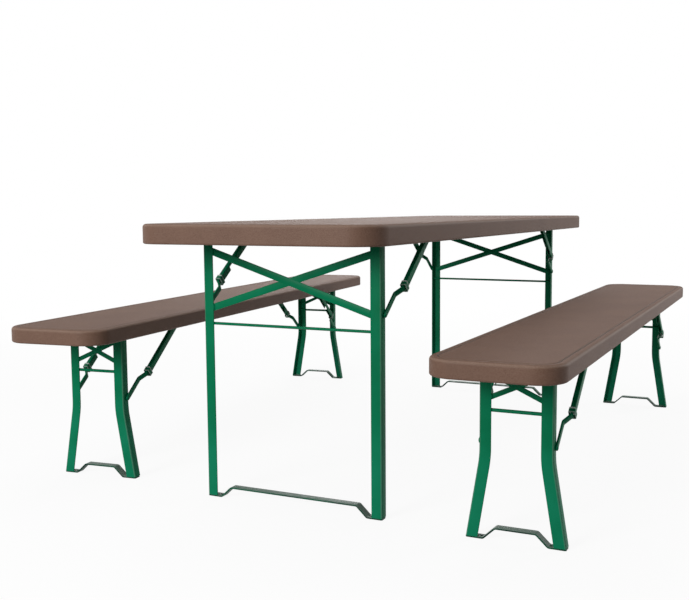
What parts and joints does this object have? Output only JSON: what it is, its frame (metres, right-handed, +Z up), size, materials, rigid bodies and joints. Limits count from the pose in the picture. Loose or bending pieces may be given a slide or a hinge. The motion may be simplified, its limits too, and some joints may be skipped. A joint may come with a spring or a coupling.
{
  "type": "folding table and bench set",
  "caption": "Folding table with matching benches: moulded plastic tops on steel leg frames that fold flat beneath them and are held open by ring-locked knee stays.",
  "frame": {"origin": "on the floor under the middle of the bounding box of the whole set", "axes": "+X across the table towards the right bench, +Y along the table away from the viewer, +Z up"},
  "size_m": [1.8286, 2.2542, 0.77],
  "materials": {
    "brown_plastic": "fine-grained moulded polyethylene, satin",
    "green_paint": "powder-coated steel, satin",
    "ring_paint": "powder-coated sheet steel, worn bright at the lips"
  },
  "bodies": {
    "table": {"table_top": "brown_plastic", "table_front_mounting_plate": "green_paint", "table_rear_mounting_plate": "green_paint"},
    "left_bench": {"left_bench_top": "brown_plastic", "left_bench_front_mounting_plate": "green_paint", "left_bench_rear_mounting_plate": "green_paint"},
    "right_bench": {"right_bench_top": "brown_plastic", "right_bench_front_mounting_plate": "green_paint", "right_bench_rear_mounting_plate": "green_paint"},
    "table_front_legs": {"table_front_leg_left": "green_paint", "table_front_leg_right": "green_paint", "table_front_cross_brace": "green_paint", "table_front_tie_rod": "green_paint", "table_front_foot_bar": "green_paint"},
    "table_front_upper_stays": {"table_front_upper_stay_left": "green_paint", "table_front_upper_stay_right": "green_paint"},
    "table_front_lower_stays": {"table_front_lower_stay_left": "green_paint", "table_front_lower_stay_right": "green_paint"},
    "table_front_lock_rings": {"table_front_lock_ring_left": "ring_paint", "table_front_lock_ring_right": "ring_paint"},
    "table_rear_legs": {"table_rear_leg_left": "green_paint", "table_rear_leg_right": "green_paint", "table_rear_cross_brace": "green_paint", "table_rear_tie_rod": "green_paint", "table_rear_foot_bar": "green_paint"},
    "table_rear_upper_stays": {"table_rear_upper_stay_left": "green_paint", "table_rear_upper_stay_right": "green_paint"},
    "table_rear_lower_stays": {"table_rear_lower_stay_left": "green_paint", "table_rear_lower_stay_right": "green_paint"},
    "table_rear_lock_rings": {"table_rear_lock_ring_left": "ring_paint", "table_rear_lock_ring_right": "ring_paint"},
    "left_bench_front_legs": {"left_bench_front_leg_frame": "green_paint"},
    "left_bench_front_upper_stays": {"left_bench_front_upper_stay_left": "green_paint", "left_bench_front_upper_stay_right": "green_paint"},
    "left_bench_front_lower_stays": {"left_bench_front_lower_stay_left": "green_paint", "left_bench_front_lower_stay_right": "green_paint"},
    "left_bench_front_lock_rings": {"left_bench_front_lock_ring_left": "ring_paint", "left_bench_front_lock_ring_right": "ring_paint"},
    "left_bench_rear_legs": {"left_bench_rear_leg_frame": "green_paint"},
    "left_bench_rear_upper_stays": {"left_bench_rear_upper_stay_left": "green_paint", "left_bench_rear_upper_stay_right": "green_paint"},
    "left_bench_rear_lower_stays": {"left_bench_rear_lower_stay_left": "green_paint", "left_bench_rear_lower_stay_right": "green_paint"},
    "left_bench_rear_lock_rings": {"left_bench_rear_lock_ring_left": "ring_paint", "left_bench_rear_lock_ring_right": "ring_paint"},
    "right_bench_front_legs": {"right_bench_front_leg_frame": "green_paint"},
    "right_bench_front_upper_stays": {"right_bench_front_upper_stay_left": "green_paint", "right_bench_front_upper_stay_right": "green_paint"},
    "right_bench_front_lower_stays": {"right_bench_front_lower_stay_left": "green_paint", "right_bench_front_lower_stay_right": "green_paint"},
    "right_bench_front_lock_rings": {"right_bench_front_lock_ring_left": "ring_paint", "right_bench_front_lock_ring_right": "ring_paint"},
    "right_bench_rear_legs": {"right_bench_rear_leg_frame": "green_paint"},
    "right_bench_rear_upper_stays": {"right_bench_rear_upper_stay_left": "green_paint", "right_bench_rear_upper_stay_right": "green_paint"},
    "right_bench_rear_lower_stays": {"right_bench_rear_lower_stay_left": "green_paint", "right_bench_rear_lower_stay_right": "green_paint"},
    "right_bench_rear_lock_rings": {"right_bench_rear_lock_ring_left": "ring_paint", "right_bench_rear_lock_ring_right": "ring_paint"}
  },
  "joints": [
    {"name": "left_bench_slide", "type": "slide", "parent": "table", "child": "left_bench", "axis": [-1, 0, 0], "range_m": [-0.12, 0.2]},
    {"name": "right_bench_slide", "type": "slide", "parent": "table", "child": "right_bench", "axis": [1, 0, 0], "range_m": [-0.12, 0.2]},
    {"name": "table_front_fold", "type": "hinge", "parent": "table", "child": "table_front_legs", "pos_m": [0.12527, -0.86509, 0.736], "axis": [1, 0, 0], "range_deg": [0, 90]},
    {"name": "table_front_upper_stay_pivot", "type": "hinge", "parent": "table", "child": "table_front_upper_stays", "pos_m": [0.12527, -0.60309, 0.736], "axis": [1, 0, 0], "range_deg": [-37.37, 0]},
    {"name": "table_front_knee_pivot", "type": "hinge", "parent": "table_front_upper_stays", "child": "table_front_lower_stays", "pos_m": [0.12527, -0.75873, 0.61719], "axis": [1, 0, 0], "range_deg": [0, 180.01]},
    {"name": "table_front_ring_slide", "type": "slide", "parent": "table_front_upper_stays", "child": "table_front_lock_rings", "axis": [0, 0.7949, 0.6068], "range_m": [0, 0.1781]},
    {"name": "table_rear_fold", "type": "hinge", "parent": "table", "child": "table_rear_legs", "pos_m": [0.12527, 0.87091, 0.736], "axis": [-1, 0, 0], "range_deg": [0, 90]},
    {"name": "table_rear_upper_stay_pivot", "type": "hinge", "parent": "table", "child": "table_rear_upper_stays", "pos_m": [0.12527, 0.60891, 0.736], "axis": [-1, 0, 0], "range_deg": [-37.37, 0]},
    {"name": "table_rear_knee_pivot", "type": "hinge", "parent": "table_rear_upper_stays", "child": "table_rear_lower_stays", "pos_m": [0.12527, 0.76455, 0.61719], "axis": [-1, 0, 0], "range_deg": [0, 180.01]},
    {"name": "table_rear_ring_slide", "type": "slide", "parent": "table_rear_upper_stays", "child": "table_rear_lock_rings", "axis": [0, -0.7949, 0.6068], "range_m": [0, 0.1781]},
    {"name": "left_bench_front_fold", "type": "hinge", "parent": "left_bench", "child": "left_bench_front_legs", "pos_m": [-0.56627, -0.83173, 0.442], "axis": [0.9949, 0.1005, 0], "range_deg": [0, 90]},
    {"name": "left_bench_front_upper_stay_pivot", "type": "hinge", "parent": "left_bench", "child": "left_bench_front_upper_stays", "pos_m": [-0.59261, -0.57106, 0.442], "axis": [0.9949, 0.1005, 0], "range_deg": [-37.37, 0]},
    {"name": "left_bench_front_knee_pivot", "type": "hinge", "parent": "left_bench_front_upper_stays", "child": "left_bench_front_lower_stays", "pos_m": [-0.57696, -0.72591, 0.32319], "axis": [0.9949, 0.1005, 0], "range_deg": [0, 180.01]},
    {"name": "left_bench_front_ring_slide", "type": "slide", "parent": "left_bench_front_upper_stays", "child": "left_bench_front_lock_rings", "axis": [-0.0799, 0.7908, 0.6068], "range_m": [0, 0.1781]},
    {"name": "left_bench_rear_fold", "type": "hinge", "parent": "left_bench", "child": "left_bench_rear_legs", "pos_m": [-0.73919, 0.87956, 0.442], "axis": [-0.9949, -0.1005, 0], "range_deg": [0, 90]},
    {"name": "left_bench_rear_upper_stay_pivot", "type": "hinge", "parent": "left_bench", "child": "left_bench_rear_upper_stays", "pos_m": [-0.71285, 0.61888, 0.442], "axis": [-0.9949, -0.1005, 0], "range_deg": [-37.37, 0]},
    {"name": "left_bench_rear_knee_pivot", "type": "hinge", "parent": "left_bench_rear_upper_stays", "child": "left_bench_rear_lower_stays", "pos_m": [-0.7285, 0.77374, 0.32319], "axis": [-0.9949, -0.1005, 0], "range_deg": [0, 180.01]},
    {"name": "left_bench_rear_ring_slide", "type": "slide", "parent": "left_bench_rear_upper_stays", "child": "left_bench_rear_lock_rings", "axis": [0.0799, -0.7908, 0.6068], "range_m": [0, 0.1781]},
    {"name": "right_bench_front_fold", "type": "hinge", "parent": "right_bench", "child": "right_bench_front_legs", "pos_m": [0.75527, -0.88709, 0.442], "axis": [1, 0, 0], "range_deg": [0, 90]},
    {"name": "right_bench_front_upper_stay_pivot", "type": "hinge", "parent": "right_bench", "child": "right_bench_front_upper_stays", "pos_m": [0.75527, -0.62509, 0.442], "axis": [1, 0, 0], "range_deg": [-37.37, 0]},
    {"name": "right_bench_front_knee_pivot", "type": "hinge", "parent": "right_bench_front_upper_stays", "child": "right_bench_front_lower_stays", "pos_m": [0.75527, -0.78073, 0.32319], "axis": [1, 0, 0], "range_deg": [0, 180.01]},
    {"name": "right_bench_front_ring_slide", "type": "slide", "parent": "right_bench_front_upper_stays", "child": "right_bench_front_lock_rings", "axis": [0, 0.7949, 0.6068], "range_m": [0, 0.1781]},
    {"name": "right_bench_rear_fold", "type": "hinge", "parent": "right_bench", "child": "right_bench_rear_legs", "pos_m": [0.75527, 0.83291, 0.442], "axis": [-1, 0, 0], "range_deg": [0, 90]},
    {"name": "right_bench_rear_upper_stay_pivot", "type": "hinge", "parent": "right_bench", "child": "right_bench_rear_upper_stays", "pos_m": [0.75527, 0.57091, 0.442], "axis": [-1, 0, 0], "range_deg": [-37.37, 0]},
    {"name": "right_bench_rear_knee_pivot", "type": "hinge", "parent": "right_bench_rear_upper_stays", "child": "right_bench_rear_lower_stays", "pos_m": [0.75527, 0.72655, 0.32319], "axis": [-1, 0, 0], "range_deg": [0, 180.01]},
    {"name": "right_bench_rear_ring_slide", "type": "slide", "parent": "right_bench_rear_upper_stays", "child": "right_bench_rear_lock_rings", "axis": [0, -0.7949, 0.6068], "range_m": [0, 0.1781]}
  ],
  "couplings": [
    {"joint": "table_front_upper_stay_pivot", "follows": "table_front_fold", "ratio": -0.41507},
    {"joint": "table_front_knee_pivot", "follows": "table_front_fold", "ratio": 2},
    {"joint": "table_front_ring_slide", "follows": "table_front_fold", "m_per_rad": 0.11332},
    {"joint": "table_rear_upper_stay_pivot", "follows": "table_rear_fold", "ratio": -0.41507},
    {"joint": "table_rear_knee_pivot", "follows": "table_rear_fold", "ratio": 2},
    {"joint": "table_rear_ring_slide", "follows": "table_rear_fold", "m_per_rad": 0.11332},
    {"joint": "left_bench_front_upper_stay_pivot", "follows": "left_bench_front_fold", "ratio": -0.41507},
    {"joint": "left_bench_front_knee_pivot", "follows": "left_bench_front_fold", "ratio": 2},
    {"joint": "left_bench_front_ring_slide", "follows": "left_bench_front_fold", "m_per_rad": 0.11332},
    {"joint": "left_bench_rear_upper_stay_pivot", "follows": "left_bench_rear_fold", "ratio": -0.41507},
    {"joint": "left_bench_rear_knee_pivot", "follows": "left_bench_rear_fold", "ratio": 2},
    {"joint": "left_bench_rear_ring_slide", "follows": "left_bench_rear_fold", "m_per_rad": 0.11332},
    {"joint": "right_bench_front_upper_stay_pivot", "follows": "right_bench_front_fold", "ratio": -0.41507},
    {"joint": "right_bench_front_knee_pivot", "follows": "right_bench_front_fold", "ratio": 2},
    {"joint": "right_bench_front_ring_slide", "follows": "right_bench_front_fold", "m_per_rad": 0.11332},
    {"joint": "right_bench_rear_upper_stay_pivot", "follows": "right_bench_rear_fold", "ratio": -0.41507},
    {"joint": "right_bench_rear_knee_pivot", "follows": "right_bench_rear_fold", "ratio": 2},
    {"joint": "right_bench_rear_ring_slide", "follows": "right_bench_rear_fold", "m_per_rad": 0.11332}
  ]
}
